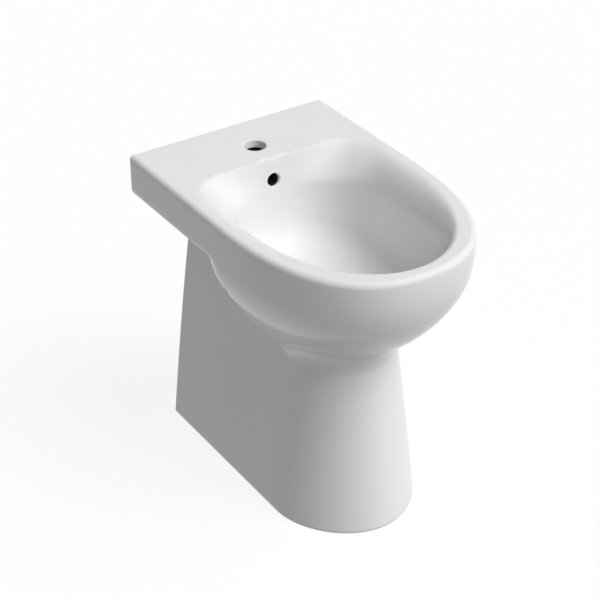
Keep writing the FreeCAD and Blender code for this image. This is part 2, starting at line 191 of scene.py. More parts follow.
def on_square_back(half, wide, rear, share):
    """The straight side, the small round corner and half of the straight back."""
    if share < corner_starts:
        return half, mix(wide, rear + corner_round, share / corner_starts)
    if share < corner_ends:
        angle = math.pi / 2 * (share - corner_starts) / (corner_ends - corner_starts)
        return (half - corner_round + corner_round * math.cos(angle),
                rear + corner_round - corner_round * math.sin(angle))
    return mix(half - corner_round, 0.0, (share - corner_ends) / (1 - corner_ends)), rear


def side_of(station):
    """1 on the right side, -1 on the left."""
    return -1 if quarter_stations <= station % stations < 3 * quarter_stations else 1


def quarter_of(station):
    """Whether a station is in the front half, and its share of the way from side to middle."""
    quarter, step = divmod(station % stations, quarter_stations)
    share = step / quarter_stations
    return quarter < 2, share if quarter in (0, 2) else 1 - share


def on_oval(station, half, wide, front, rear, front_fullness, rear_fullness):
    in_front, share = quarter_of(station)
    if in_front:
        x, from_wall = on_quarter(half, wide, front, front_fullness, share)
    else:
        x, from_wall = on_quarter(half, wide, rear, rear_fullness, share)
    return side_of(station) * x, from_wall


# The bowl and its drain
def drop_share(turn):
    """How deep the bowl's wall is at a turn: 0 at its top, 1 at its floor (90 degrees)."""
    return math.sin(turn) ** bowl_drop


def under_turn(z):
    """The turn at which the underside of the bowl's wall is at a height."""
    return math.asin(((bowl_top - z) / (bowl_top - bowl_under)) ** (1 / bowl_drop))


def wall_spread(turn, hold, bend):
    """How far out the bowl's wall stands at a turn: 1 at its top, 0 at its floor."""
    return max(0.0, 1 - math.sin(turn) ** hold) ** bend


def bowl_sizes(turn, grow):
    """Sizes of a level outline of the bowl's wall, which leans in a little at the rear."""
    spread = wall_spread(turn, side_hold, side_bend)
    rear_spread = wall_spread(turn, rear_hold, rear_bend)
    rear = mix(bowl_rear, bowl_rear_low, drop_share(turn))
    return {
        "half": mix(flat_radius, bowl_half, spread) + grow,
        "wide": mix(drain_from_wall, widest, spread),
        "front": mix(drain_from_wall + flat_radius, bowl_front, spread) + grow,
        "rear": mix(drain_from_wall - flat_radius, rear, rear_spread) - grow,
        "front_fullness": mix(round_fullness, bowl_front_fullness, spread),
        "rear_fullness": mix(round_fullness, bowl_rear_fullness, spread),
    }


def bowl_ring(turn, grow, bottom):
    sizes = bowl_sizes(turn, grow)
    z = mix(bowl_top, bottom, drop_share(turn))
    return lambda station: (*on_oval(station, **sizes), z)


def drain_ring(radius, z):
    front = drain_from_wall + radius
    rear = drain_from_wall - radius
    return lambda station: (*on_oval(station, radius, drain_from_wall, front, rear,
                                     round_fullness, round_fullness), z)


# The lip and the flat top
def on_opening(station):
    """Where the flat top ends and the lip starts to bend down."""
    return on_oval(station, opening_half, widest, opening_front, opening_rear,
                   opening_front_fullness, opening_rear_fullness)


def lip_pulls(station):
    """How far the lip keeps to the flat top and to the bowl's wall: crisp along the middle of the
    deck, wide and soft at the sides and the front."""
    in_front, share = quarter_of(station)
    if in_front:
        return mix(side_flat_pull, front_flat_pull, ease(share / 0.6)), soft_wall_pull
    crisp = ease((share - 0.3) / 0.4)
    return mix(side_flat_pull, deck_flat_pull, crisp), mix(soft_wall_pull, deck_wall_pull, crisp)


def lip_ring(share):
    """A ring of the lip, from the bowl's wall (share 0) to the flat top (1)."""
    wall_turn = math.radians(lip_turn)
    wall_end = bowl_ring(wall_turn, 0, bowl_floor)
    wall_below = bowl_ring(wall_turn + 0.02, 0, bowl_floor)

    def outline(station):
        start = Vector((*on_opening(station), top))
        foot = Vector(wall_end(station))
        inward = foot - start
        inward.z = 0
        down = Vector(wall_below(station)) - foot
        flat_pull, wall_pull = lip_pulls(station)
        near = start + flat_pull * inward.normalized()
        far = foot - wall_pull * down.normalized()
        at_foot, at_far, at_near, at_start = bend_weights(share)
        return at_start * start + at_near * near + at_far * far + at_foot * foot
    return outline


def outer_round(station):
    """The radius of the rim's outer edge: soft at the sides and the front, crisp at the wall."""
    in_front, share = quarter_of(station)
    if in_front:
        return rim_round
    crisp = ease((share - corner_starts) / (corner_ends - corner_starts))
    return mix(rim_round, back_round, crisp)


def edge_ring(angle):
    """A ring of the rim's outer edge, from the flat top (0) to the upright side (90 degrees)."""
    def outline(station):
        inset = rim_round * (1 - math.sin(angle))
        rear = back_round * (1 - math.sin(angle))
        x, from_wall = on_slab(station, top, inset, rear)
        return x, from_wall, top - outer_round(station) * (1 - math.cos(angle))
    return outline


def deck_ring(share):
    """A ring of the flat top between the lip and the outer edge."""
    inner = lip_ring(1.0)
    outer = edge_ring(0.0)

    def outline(station):
        first = inner(station)
        last = outer(station)
        return mix(first[0], last[0], share), mix(first[1], last[1], share), top
    return outline


# The outside of the basin
def front_of(z):
    """Front end and fullness of the outside at a height, drawn in towards the lower edge."""
    share = 1 - max(0.0, (deck_under - z) / (deck_under - edge_level)) ** front_draw
    return mix(edge_front, depth, share), mix(edge_fullness, rim_fullness, share)


def on_slab(station, z, inset, rear):
    """The outline of deck and skirt."""
    in_front, share = quarter_of(station)
    if in_front:
        end, fullness = front_of(z)
        x, from_wall = on_quarter(half_width - inset, widest, end - inset, fullness, share)
    else:
        x, from_wall = on_square_back(half_width - inset, widest, rear, share)
    return side_of(station) * x, from_wall


def clear_of_bowl(x, from_wall, z, grow):
    """Moves a place at the rear back to the bowl's grown wall where it would cut into the bowl."""
    bowl = bowl_sizes(under_turn(z), grow)
    wide = bowl["wide"]
    low, high = 0.0, 1.0
    for _ in range(24):
        share = (low + high) / 2
        wall_x, wall_from_wall = on_quarter(bowl["half"], wide, bowl["rear"],
                                            bowl["rear_fullness"], share)
        if wall_x * (wide - from_wall) > abs(x) * (wide - wall_from_wall):
            low = share
        else:
            high = share
    if wall_from_wall < from_wall:
        return math.copysign(wall_x, x), wall_from_wall
    return x, from_wall


def on_bulge(station, z, inset):
    """The outside of the bowl below the skirt. At the rear it stays behind the bowl's own wall."""
    share = 1 - max(0.0, (skirt_foot - z) / (skirt_foot - edge_level)) ** side_draw
    half = mix(edge_half, half_width, share) - inset
    wide = mix(edge_widest, widest, share)
    end, fullness = front_of(z)
    x, from_wall = on_oval(station, half, wide, end - inset, wide - rear_reach + inset,
                           fullness, round_fullness)
    if station % stations <= 2 * quarter_stations or z < bowl_under + 1:
        return x, from_wall
    return clear_of_bowl(x, from_wall, z, bowl_rear_wall - inset)


def on_cove(station, z, inset):
    """The cove that leads from the bowl's lower edge down to the pedestal."""
    share = ((z - joint_level) / (edge_level - joint_level)) ** cove_bend
    half = mix(joint_half, edge_half, share) - inset
    wide = mix(pedestal_widest, edge_widest, share)
    front = mix(joint_front, edge_front, share) - inset
    fullness = mix(pedestal_fullness, edge_fullness, share)
    return on_oval(station, half, wide, front, wide - rear_reach + inset, fullness, round_fullness)


def slab_ring(z, inset, rear):
    return lambda station: (*on_slab(station, z, inset, rear), z)


def bulge_ring(z, inset):
    return lambda station: (*on_bulge(station, z, inset), z)


def cove_ring(z, inset):
    return lambda station: (*on_cove(station, z, inset), z)


# The skirt's foot
bulge_line = [Vector((*on_bulge(number, skirt_foot, 0), 0)) for number in range(stations + 1)]


def gap_at(station):
    """How far the skirt's foot stands out over the bowl's outside."""
    place = Vector((*on_slab(station, skirt_foot, 0, 0), 0))
    gap = half_width
    for first, last in zip(bulge_line, bulge_line[1:]):
        share = intersect_point_line(place, first, last)[1]
        nearest = mix(first, last, min(1.0, max(0.0, share)))
        gap = min(gap, (place - nearest).length)
    return gap


skirt_gaps = [gap_at(number) for number in range(stations)]


def overhang(station):
    """1 where the skirt's foot stands well out, 0 where the bowl takes over."""
    return min(1.0, skirt_gaps[station % stations] / full_overhang)


def foot_radius(station):
    return min(skirt_round, gap_for_radius * skirt_gaps[station % stations])


def foot_height(station, step):
    """Height of a ring of the foot: a round edge that runs out where the bowl takes over."""
    round_rise = step["round_rise"] * foot_radius(station)
    return skirt_foot + mix(step["run_out_rise"], round_rise, overhang(station))


def foot_ring(step):
    def outline(station):
        run_out_inset = step["run_out_inset"] * skirt_gaps[station % stations]
        round_inset = step["round_inset"] * foot_radius(station)
        inset = mix(run_out_inset, round_inset, overhang(station))
        z = foot_height(station, step)
        return (*on_slab(station, z, inset, inset), z)
    return outline


def side_ring(share):
    """A ring of the skirt's side, from below the rim's round to above its foot."""
    def outline(station):
        z = mix(top - outer_round(station), foot_height(station, foot_steps[0]), share)
        return (*on_slab(station, z, 0, 0), z)
    return outline


def under_ring(station):
    """Where the skirt's underside meets the bowl's outside."""
    z = skirt_foot - run_out_drop * (1 - overhang(station))
    return (*on_bulge(station, z, 0), z)


def basin_rings():
    """The rings of the basin's skin: up the bowl, over the rim, down outside, back up inside."""
    yield drain_ring(drain_radius, boss_foot)
    for wider, lower in ((0, 3), (0.5, 1), (2, 0)):
        yield drain_ring(drain_radius + wider, bowl_floor - lower)
    for turn in spread_out(90, lip_turn, 33):
        yield bowl_ring(math.radians(turn), 0, bowl_floor)
    for share in spread_out(0, 1, 19)[1:]:
        yield lip_ring(share)
    for share in spread_out(0, 1, 15)[1:]:
        yield deck_ring(share)
    for angle in spread_out(0, 90, 9)[1:]:
        yield edge_ring(math.radians(angle))
    for share in spread_out(0, 1, 8)[1:-1]:
        yield side_ring(share)
    for step in foot_steps:
        yield foot_ring(step)
    yield under_ring
    for z in spread_out(skirt_foot - 9, edge_level + 4, 22) + [edge_level + 2, edge_level + 1]:
        yield bulge_ring(z, 0)
    for z in [edge_level, edge_level - 1, edge_level - 2]:
        yield cove_ring(z, 0)
    for z in spread_out(edge_level - 4.5, joint_level, 14):
        yield cove_ring(z, 0)
    yield cove_ring(joint_level, 3)
    for z in (joint_level, 290, 305, edge_level - 1):
        yield cove_ring(z, basin_wall)
    for z in (326, 332, bowl_under + 1):
        yield bulge_ring(z, basin_wall)
    for turn in spread_out(78, 90, 5):
        yield bowl_ring(math.radians(turn), basin_wall, bowl_under)
    yield drain_ring(boss_radius, bowl_under)
    yield drain_ring(boss_radius, boss_foot)
    yield drain_ring(drain_radius, boss_foot)


# Modelling helpers
def corners_of(items):
    return [item for item in items if isinstance(item, bmesh.types.BMVert)]


def edges_of(items):
    return [item for item in items if isinstance(item, bmesh.types.BMEdge)]


def all_of(mesh):
    return mesh.verts[:] + mesh.edges[:] + mesh.faces[:]


def reach_of(edge, axis):
    """How far an edge reaches along an axis: 0 across, 1 along the depth, 2 up."""
    first, last = edge.verts
    return abs(first.co[axis] - last.co[axis])


def round_edges(mesh, edges, size, segments, clamp=False):
    bmesh.ops.bevel(mesh, geom=edges, offset=size / 1000, offset_type="OFFSET", segments=segments,
                    profile=0.5, affect="EDGES", clamp_overlap=clamp, material=-1)
    return mesh


def soften(mesh, size, segments=3):
    """Rounds every edge where two faces meet at more than 30 degrees."""
    bmesh.ops.remove_doubles(mesh, verts=mesh.verts, dist=1e-7)
    hard = [edge for edge in mesh.edges
            if len(edge.link_faces) == 2 and edge.calc_face_angle() > math.radians(30)]
    return round_edges(mesh, hard, size, segments, clamp=True)


def first_ring(mesh, outline, count):
    places = mesh.verts.layers.int["station"]
    made = bmesh.ops.create_circle(mesh, segments=count, radius=1)
    for number, corner in enumerate(made["verts"]):
        corner[places] = number
        corner.co = spot(*outline(number))
    edges = [edge for corner in made["verts"] for edge in corner.link_edges]
    return list(dict.fromkeys(edges))


def next_ring(mesh, edges, outline):
    places = mesh.verts.layers.int["station"]
    made = bmesh.ops.extrude_edge_only(mesh, edges=edges)["geom"]
    corners = set(corners_of(made))
    for corner in corners:
        corner.co = spot(*outline(corner[places]))
    return [edge for edge in edges_of(made) if set(edge.verts) <= corners]


def skin_of(rings, count=stations, closed=False):
    """A skin through level rings, with flat ends unless it closes on itself."""
    mesh = bmesh.new()
    mesh.verts.layers.int.new("station")
    rings = iter(rings)
    edges = first_ring(mesh, next(rings), count)
    start = edges
    for outline in rings:
        edges = next_ring(mesh, edges, outline)
    if not closed:
        bmesh.ops.edgeloop_fill(mesh, edges=start)
        bmesh.ops.edgeloop_fill(mesh, edges=edges)
    return mesh


def plate_mesh(outline, way):
    """A flat outline, carried along a way in metres to a plate."""
    mesh = bmesh.new()
    face = mesh.faces.new([mesh.verts.new(place) for place in outline])
    made = bmesh.ops.extrude_face_region(mesh, geom=[face])["geom"]
    bmesh.ops.translate(mesh, vec=way, verts=corners_of(made))
    return mesh


def block_mesh(half, rear, front, bottom, height, soft):
    """A block across the middle plane, with its upright edges rounded."""
    mesh = bmesh.new()
    bmesh.ops.create_cube(mesh, size=1)
    size = Vector((2 * half, front - rear, height)) / 1000
    bmesh.ops.scale(mesh, vec=size, verts=mesh.verts)
    middle = spot(0, (front + rear) / 2, bottom + height / 2)
    bmesh.ops.translate(mesh, vec=middle, verts=mesh.verts)
    upright = [edge for edge in mesh.edges if reach_of(edge, 2) > 1e-6]
    return round_edges(mesh, upright, soft, 5)


def turned_mesh(profile, place, along, steps=64):
    """A closed profile of (radius, height) points turned about an axis through a place."""
    mesh = bmesh.new()
    corners = [mesh.verts.new((radius / 1000, 0, height / 1000)) for radius, height in profile]
    edges = [mesh.edges.new(pair) for pair in zip(corners, corners[1:] + corners[:1])]
    bmesh.ops.spin(mesh, geom=corners + edges, cent=(0, 0, 0), axis=(0, 0, 1), angle=2 * math.pi,
                   steps=steps, use_merge=True)
    bmesh.ops.remove_doubles(mesh, verts=mesh.verts, dist=1e-7)
    turn = Vector((0, 0, 1)).rotation_difference(Vector(along)).to_matrix().to_4x4()
    bmesh.ops.transform(mesh, matrix=Matrix.Translation(place) @ turn, verts=mesh.verts)
    return mesh


def join(mesh, *others):
    """Puts other meshes into the first one."""
    for other in others:
        data = bpy.data.meshes.new("part")
        other.to_mesh(data)
        other.free()
        mesh.from_mesh(data)
        bpy.data.meshes.remove(data)
    return mesh


def both_sides(mesh):
    """Adds the mirrored copy on the left."""
    bmesh.ops.mirror(mesh, geom=all_of(mesh), matrix=Matrix.Identity(4), merge_dist=0, axis="X")
    return mesh


def as_object(name, mesh, *coats):
    bmesh.ops.remove_doubles(mesh, verts=mesh.verts, dist=1e-6)
    bmesh.ops.recalc_face_normals(mesh, faces=mesh.faces)
    data = bpy.data.meshes.new(name)
    mesh.to_mesh(data)
    mesh.free()
    for coat in coats:
        data.materials.append(coat)
    made = bpy.data.objects.new(name, data)
    bpy.context.scene.collection.objects.link(made)
    return made


def carve(made, *cutters):
    """Takes the cutters out of a solid piece."""
    for cutter in cutters:
        step = made.modifiers.new("carve", "BOOLEAN")
        step.operation = "DIFFERENCE"
        step.solver = "EXACT"
        step.material_mode = "TRANSFER"
        step.object = cutter
    view = bpy.context.evaluated_depsgraph_get()
    carved = bpy.data.meshes.new_from_object(made.evaluated_get(view))
    made.modifiers.clear()
    made.data = carved
    for cutter in cutters:
        bpy.data.objects.remove(cutter)


def mouth_cutter(name, radius, soft, reach, place, along, lining=0.0):
    """A round cutter whose mouth flares, so that the hole that it leaves has a soft edge. Below a
    lining of glaze the hole's wall is near-black: painted shade for its dark inside."""
    profile = [(0, -reach), (radius, -reach)]
    if lining:
        profile.append((radius, -lining))
    for angle in spread_out(0, 75, 6):
        turn = math.radians(angle)
        profile.append((radius + soft * (1 - math.cos(turn)), soft * (math.sin(turn) - 1)))
    profile += [(radius + 1.4 * soft, 0.6 * soft), (radius + 1.4 * soft, 6), (0, 6)]
    cutter = as_object(name, turned_mesh(profile, place, along))
    if lining:
        cutter.data.materials.append(glaze)
        cutter.data.materials.append(painted_shade_clay)
        # Faces deeper than the glaze lining take the near-black painted shade
        for face in cutter.data.polygons:
            if (place - face.center).dot(Vector(along).normalized()) > lining / 1000:
                face.material_index = 1
    return cutter


def dress(made, body, slot, *stands_for, sharp=40):
    """Gives a piece its smooth shading, its finish where it has none and its body, and hides the
    CAD nodes that it stands for.
    """
    made.data.shade_smooth()
    made.data.set_sharp_from_angle(angle=math.radians(sharp))
    if not any(made.data.materials):
        made.data.materials.clear()
        made.data.materials.append(finishes[slot])
    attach(made, body)
    if stands_for:
        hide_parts(*stands_for)
    return made


def fitting(name, mesh, slot, node, body="bidet"):
    """A fitting that stands for one CAD node."""
    return dress(as_object(name, mesh), body, slot, node)


# Turned pieces, about the axes of the fittings
def on_drain(radius, angle, height):
    return radius * math.cos(angle), drain_from_wall + radius * math.sin(angle), height


def on_outlet(radius, angle, from_wall):
    return radius * math.cos(angle), from_wall, outlet_level + radius * math.sin(angle)


def on_clamp(radius, angle, x):
    return x, clamp_from_wall + radius * math.sin(angle), clamp_level + radius * math.cos(angle)


def lathe(axis, profile, flats=0.0, ribs=0, open_ends=False, count=72):
    """Carries (radius, height) points round an axis. Flats cut the round down to a hexagon, and a
    rib depth as a third number waves the round."""
    def ring(radius, height, rib=0.0):
        def outline(station):
            angle = 2 * math.pi * station / count
            reach = radius - rib * (0.5 - 0.5 * math.cos(ribs * angle))
            if flats:
                reach = min(reach, flats / 2 / math.cos(angle % (math.pi / 3) - math.pi / 6))
            return axis(reach, angle, height)
        return outline
    rings = [ring(*point) for point in profile]
    return skin_of(rings if open_ends else rings + rings[:1], count, closed=True)


def nut_mesh(axis, flats, low, high, *bores, soft=0.6, segments=3, count=96):
    """A hexagonal nut with chamfered ends, and its bores of (radius, end) from the high end."""
    chamfer = [(flats * (0.49 + 0.095 * share), 0.045 * flats * share)
               for share in (0, 0.3, 0.6, 1)]
    profile = [(radius, low + height) for radius, height in chamfer]
    profile += [(radius, high - height) for radius, height in reversed(chamfer)]
    start = high
    for radius, end in bores:
        profile += [(radius, start), (radius, end)]
        start = end
    return soften(lathe(axis, profile, flats=flats, count=count), soft, segments)


def thread(radius, ridge, low, high, pitch):
    """The ridges of a thread, as points of a profile."""
    points = []
    for number in range(int((high - low) / pitch)):
        start = low + number * pitch
        points += [(radius - ridge, start), (radius - ridge, start + 0.15 * pitch),
                   (radius, start + 0.5 * pitch), (radius, start + 0.65 * pitch)]
    return points


# Finishes
def pattern_of(tree, places, scale, detail=None):
    """A noise on the piece's own coordinates, or separate patches where no detail is given."""
    kind = "ShaderNodeTexVoronoi" if detail is None else "ShaderNodeTexNoise"
    pattern = tree.nodes.new(kind)
    pattern.inputs["Scale"].default_value = scale
    tree.links.new(places, pattern.inputs["Vector"])
    if detail is None:
        return pattern.outputs["Distance"]
    pattern.inputs["Detail"].default_value = detail
    return pattern.outputs["Fac"]


def add_colour(tree, shader, pattern, dark, light, low=0.3, high=0.7):
    ramp = tree.nodes.new("ShaderNodeValToRGB")
    ramp.color_ramp.elements[0].position = low
    ramp.color_ramp.elements[0].color = (*dark, 1)
    ramp.color_ramp.elements[1].position = high
    ramp.color_ramp.elements[1].color = (*light, 1)
    tree.links.new(pattern, ramp.inputs["Fac"])
    tree.links.new(ramp.outputs["Color"], shader.inputs["Base Color"])


def add_gloss(tree, shader, pattern, smooth, rough, low=0.3, high=0.7):
    spread = tree.nodes.new("ShaderNodeMapRange")
    spread.inputs["From Min"].default_value = low
    spread.inputs["From Max"].default_value = high
    spread.inputs["To Min"].default_value = smooth
    spread.inputs["To Max"].default_value = rough
    tree.links.new(pattern, spread.inputs["Value"])
    tree.links.new(spread.outputs["Result"], shader.inputs["Roughness"])


def add_relief(tree, shader, pattern, strength, height):
    bump = tree.nodes.new("ShaderNodeBump")
    bump.inputs["Strength"].default_value = strength
    bump.inputs["Distance"].default_value = height
    tree.links.new(pattern, bump.inputs["Height"])
    tree.links.new(bump.outputs["Normal"], shader.inputs["Normal"])


def make_finish(name, clouds, colour, waves, gloss, grain, relief, metallic=0.0, specular=0.5):
    """A finish with its colour in clouds, its gloss in waves and its relief in a grain."""
    finish = bpy.data.materials.new(name)
    finish.use_nodes = True
    tree = finish.node_tree
    shader = next(node for node in tree.nodes if node.type == "BSDF_PRINCIPLED")
    places = tree.nodes.new("ShaderNodeTexCoord").outputs["Object"]
    add_colour(tree, shader, pattern_of(tree, places, **clouds), **colour)
    add_gloss(tree, shader, pattern_of(tree, places, **waves), **gloss)
    add_relief(tree, shader, pattern_of(tree, places, **grain), **relief)
    shader.inputs["Metallic"].default_value = metallic
    shader.inputs["Specular IOR Level"].default_value = specular
    return finish


# White vitreous glaze: a trace of cloudiness in the colour and a slow waviness in the gloss
glaze = make_finish(
    "white_glaze",
    clouds={"scale": 7, "detail": 3},
    colour={"dark": (0.775, 0.78, 0.785), "light": (0.805, 0.805, 0.80)},
    waves={"scale": 18, "detail": 4},
    gloss={"smooth": 0.09, "rough": 0.16},
    grain={"scale": 32, "detail": 2},
    relief={"strength": 0.06, "height": 0.0006},
    specular=0.35)

# Unglazed clay inside the hollows, holes and duct; its near-black colour is painted shade that
# stands in for the deep shade there
painted_shade_clay = make_finish(
    "bare_clay_painted_shade",
    clouds={"scale": 60, "detail": 5},
    colour={"dark": (0.035, 0.036, 0.038), "light": (0.06, 0.061, 0.063)},
    waves={"scale": 90, "detail": 3},
    gloss={"smooth": 0.75, "rough": 0.95},
    grain={"scale": 400, "detail": 4},
    relief={"strength": 0.25, "height": 0.0004},
    specular=0.1)

# Polished chrome of the waste and its plug
chrome = make_finish(
    "polished_chrome",
    clouds={"scale": 60, "detail": 3},
    colour={"dark": (0.70, 0.71, 0.73), "light": (0.80, 0.81, 0.82)},
    waves={"scale": 140, "detail": 4},
    gloss={"smooth": 0.06, "rough": 0.16},
    grain={"scale": 220, "detail": 2},
    relief={"strength": 0.04, "height": 0.0002},
    metallic=1.0)

# Turned brass of the backnut and the stem's guide
brass = make_finish(
    "turned_brass",
    clouds={"scale": 45, "detail": 5},
    colour={"dark": (0.46, 0.31, 0.11), "light": (0.66, 0.48, 0.20)},
    waves={"scale": 160, "detail": 5},
    gloss={"smooth": 0.22, "rough": 0.42},
    grain={"scale": 420, "detail": 3},
    relief={"strength": 0.12, "height": 0.0003},
    metallic=1.0)

# Zinc plating, whose patches catch the light differently
zinc = make_finish(
    "zinc_steel",
    clouds={"scale": 130},
    colour={"dark": (0.36, 0.37, 0.39), "light": (0.56, 0.57, 0.58), "low": 0.1, "high": 0.9},
    waves={"scale": 210, "detail": 4},
    gloss={"smooth": 0.30, "rough": 0.48},
    grain={"scale": 520, "detail": 3},
    relief={"strength": 0.10, "height": 0.0002},
    metallic=1.0)

# Black rubber of the seals, washers and pads
rubber = make_finish(
    "black_rubber",
    clouds={"scale": 90, "detail": 4},
    colour={"dark": (0.012, 0.012, 0.013), "light": (0.03, 0.03, 0.031)},
    waves={"scale": 300, "detail": 3},
    gloss={"smooth": 0.55, "rough": 0.75},
    grain={"scale": 700, "detail": 3},
    relief={"strength": 0.2, "height": 0.0002})

# White plastic of the trap
plastic = make_finish(
    "white_plastic",
    clouds={"scale": 24, "detail": 3},
    colour={"dark": (0.66, 0.66, 0.645), "light": (0.71, 0.71, 0.70)},
    waves={"scale": 120, "detail": 4},
    gloss={"smooth": 0.30, "rough": 0.42},
    grain={"scale": 900, "detail": 2},
    relief={"strength": 0.06, "height": 0.0001})

finishes = {"china": glaze, "chrome": chrome, "brass": brass, "steel": zinc, "rubber": rubber,
            "plastic": plastic}


# China
def overflow_cutter(name, reach):
    """A cutter for the overflow hole, high in the rear wall of the bowl."""
    return mouth_cutter(name, overflow_radius, soft=1.0, reach=reach, place=spot(0, 127.4, 464),
                        along=(0, -0.985, 0.17), lining=3)


def make_basin():
    """The china above the pedestal, with its hollow, its tap hole and its overflow hole."""
    basin = as_object("basin", skin_of(basin_rings(), closed=True), glaze)
    hollow = block_mesh(half=half_width - basin_wall, rear=basin_wall, front=hollow_front,
                        bottom=hollow_foot, height=deck_under - hollow_foot, soft=6)
    tap_hole = mouth_cutter("tap_hole", tap_hole_radius, soft=0.8, reach=20,
                            place=spot(0, tap_hole_from_wall, top), along=(0, 0, 1), lining=12)
    # The hollow's cut faces and the deep walls of the tap and overflow holes are painted near-black
    # as shade
    carve(basin, as_object("hollow", hollow, painted_shade_clay), tap_hole, overflow_cutter("overflow", 30))
    dress(basin, "bidet", "china", "deck", "rim", "skirt", "bowl_side", "bowl_floor", "apron",
          "neck", sharp=44)


def through_three(z, at_foot, at_joint, at_head):
    """A smooth curve of a pedestal's size through its foot, its joint and its head."""
    foot, joint, head = 0.0, joint_level, deck_under
    foot_weight = (z - joint) * (z - head) / ((foot - joint) * (foot - head))
    joint_weight = (z - foot) * (z - head) / ((joint - foot) * (joint - head))
    head_weight = (z - foot) * (z - joint) / ((head - foot) * (head - joint))
    return at_foot * foot_weight + at_joint * joint_weight + at_head * head_weight


def pedestal_half(z):
    return through_three(z, *pedestal_halves)


def pedestal_ring(z, shrink=0.0):
    """A level ring of the pedestal: round the outside of its wall and back round the inside."""
    half = pedestal_half(z)
    front = through_three(z, *pedestal_fronts)
    last_step = stations // 2 - 1
    middle_step = last_step / 2
    straight_steps = 12

    def along(step, inset):
        """From the right rear end round the front to the left rear end."""
        side = 1
        if step > middle_step:
            side = -1
            step = last_step - step
        if step < straight_steps:
            return side * (half - inset), mix(0, pedestal_widest, step / straight_steps)
        share = (step - straight_steps) / (middle_step - straight_steps)
        x, from_wall = on_quarter(half - inset, pedestal_widest, front - inset,
                                  pedestal_fullness, share)
        return side * x, from_wall

    def outline(station):
        if station <= last_step:
            x, from_wall = along(station, shrink)
        else:
            x, from_wall = along(stations - 1 - station, pedestal_wall - shrink)
        if z >= skirt_foot:
            from_wall = max(from_wall, basin_wall + 0.5)
        return x, from_wall, z
    return outline


def make_pedestal():
    """The hollow foot, up to the underside of the basin."""
    rings = [pedestal_ring(z, shrink) for z, shrink in ((0, 1.6), (0.5, 0.7), (1.6, 0))]
    heights = spread_out(6, joint_level - 5, 25) + spread_out(joint_level, skirt_foot - 0.1, 12)
    heights += [skirt_foot + 0.4, 460, deck_under - 1]
    rings += [pedestal_ring(z) for z in heights]
    pedestal = as_object("pedestal_walls", skin_of(rings))
    lap = 1
    form = [cove_ring(z, lap) for z in spread_out(joint_level + 0.2, edge_level, 12)]
    form += [bulge_ring(z, lap) for z in spread_out(330, skirt_foot, 12)]
    form += [slab_ring(z, basin_wall + lap, hollow_front - lap)
             for z in (skirt_foot + 0.6, top + 20)]
    carve(pedestal, as_object("bowl_form", skin_of(form)))
    dress(pedestal, "bidet", "china", "pedestal")


def make_overflow_rib():
    """The rib behind the bowl, with the overflow's hole and duct in it."""
    side = [(102, 488), (119, 488), (119, 440), (120, 404), (124, 376), (150, 350), (165, 322),
            (102, 322)]
    half = 20
    plate = plate_mesh([spot(-half, from_wall, z) for from_wall, z in side],
                       (2 * half / 1000, 0, 0))
    rib = as_object("overflow_rib", soften(plate, 4, 4), glaze)
    duct = block_mesh(half=12, rear=108, front=116, bottom=340, height=138, soft=2)
    # The duct's cut faces and the deep wall of the overflow hole are painted near-black as shade
    carve(rib, as_object("duct", duct, painted_shade_clay), overflow_cutter("hole", 22))
    dress(rib, "bidet", "china", "overflow_duct")


make_basin()
make_pedestal()
make_overflow_rib()


# Waste and click plug
def cross_arm(number):
    """One of the three arms that hold the hub in the waste."""
    arm = bmesh.new()
    bmesh.ops.create_cube(arm, size=1)
    bmesh.ops.scale(arm, vec=(0.0105, 0.004, 0.0112), verts=arm.verts)
    bmesh.ops.translate(arm, vec=(0.0126, 0, 0), verts=arm.verts)
    soften(arm, 0.5)
    turn = Matrix.Rotation(math.radians(90 + 120 * number), 4, "Z")
    place = Matrix.Translation(spot(0, drain_from_wall, 326))
    bmesh.ops.transform(arm, matrix=place @ turn, verts=arm.verts)
    return arm


def make_waste():
    """The slotted, threaded tail with its flange and its cross bar."""
    ridges = thread(20.5, ridge=0.8, low=263, high=317, pitch=2)
    outside = [(17.4, 262), (19.4, 262)] + ridges + [(20.5, 319), (20.5, 352)]
    flange = [(31.4, 352), (32, 352.6), (32, 353.8), (31.6, 354.6), (30.8, 355), (29.2, 355),
              (28.7, 354.8), (28.5, 354.4), (28.5, 353.4), (28.1, 353), (18.4, 353), (17.4, 352.6),
              (17, 351.6), (17, 262.4)]
    hub = lathe(on_drain, [(5, 320.4), (5.4, 320), (7.6, 320), (8, 320.4), (8, 331.6), (7.6, 332),
                           (5.4, 332), (5, 331.6)])
    tail = as_object("waste", lathe(on_drain, outside + flange))
    slots = [block_mesh(half=6, rear=rear, front=rear + 9, bottom=328, height=14, soft=0.6)
             for rear in (280.5, 320.5)]
    carve(tail, *[as_object("slot", slot) for slot in slots])
    mesh = bmesh.new()
    mesh.from_mesh(tail.data)
    bpy.data.objects.remove(tail)
    arms = [cross_arm(number) for number in range(3)]
    fitting("waste_body_chromed", join(mesh, hub, *arms), "chrome", "waste_body")


def make_waste_rings():
    """The seal, the washer and the nut that clamp the waste to the china."""
    seal = lathe(on_drain, [(23.4, 350), (31.4, 350), (31.9, 350.4), (32, 351), (31.9, 351.6),
                            (31.4, 352), (23.4, 352), (23, 351.6), (23, 350.4)])
    fitting("flange_ring", seal, "rubber", "flange_seal")
    washer = lathe(on_drain, [(20.5, 311), (26.2, 311), (27, 311.3), (27.5, 311.9), (32.6, 318.6),
                              (33, 319.4), (32.8, 319.9), (32.2, 320), (20.5, 320)])
    fitting("boss_washer", washer, "rubber", "tapered_washer")
    nut = nut_mesh(on_drain, 54, 300, 311, (20.5, 300), soft=0.4, segments=2)
    fitting("waste_backnut", nut, "brass", "backnut")


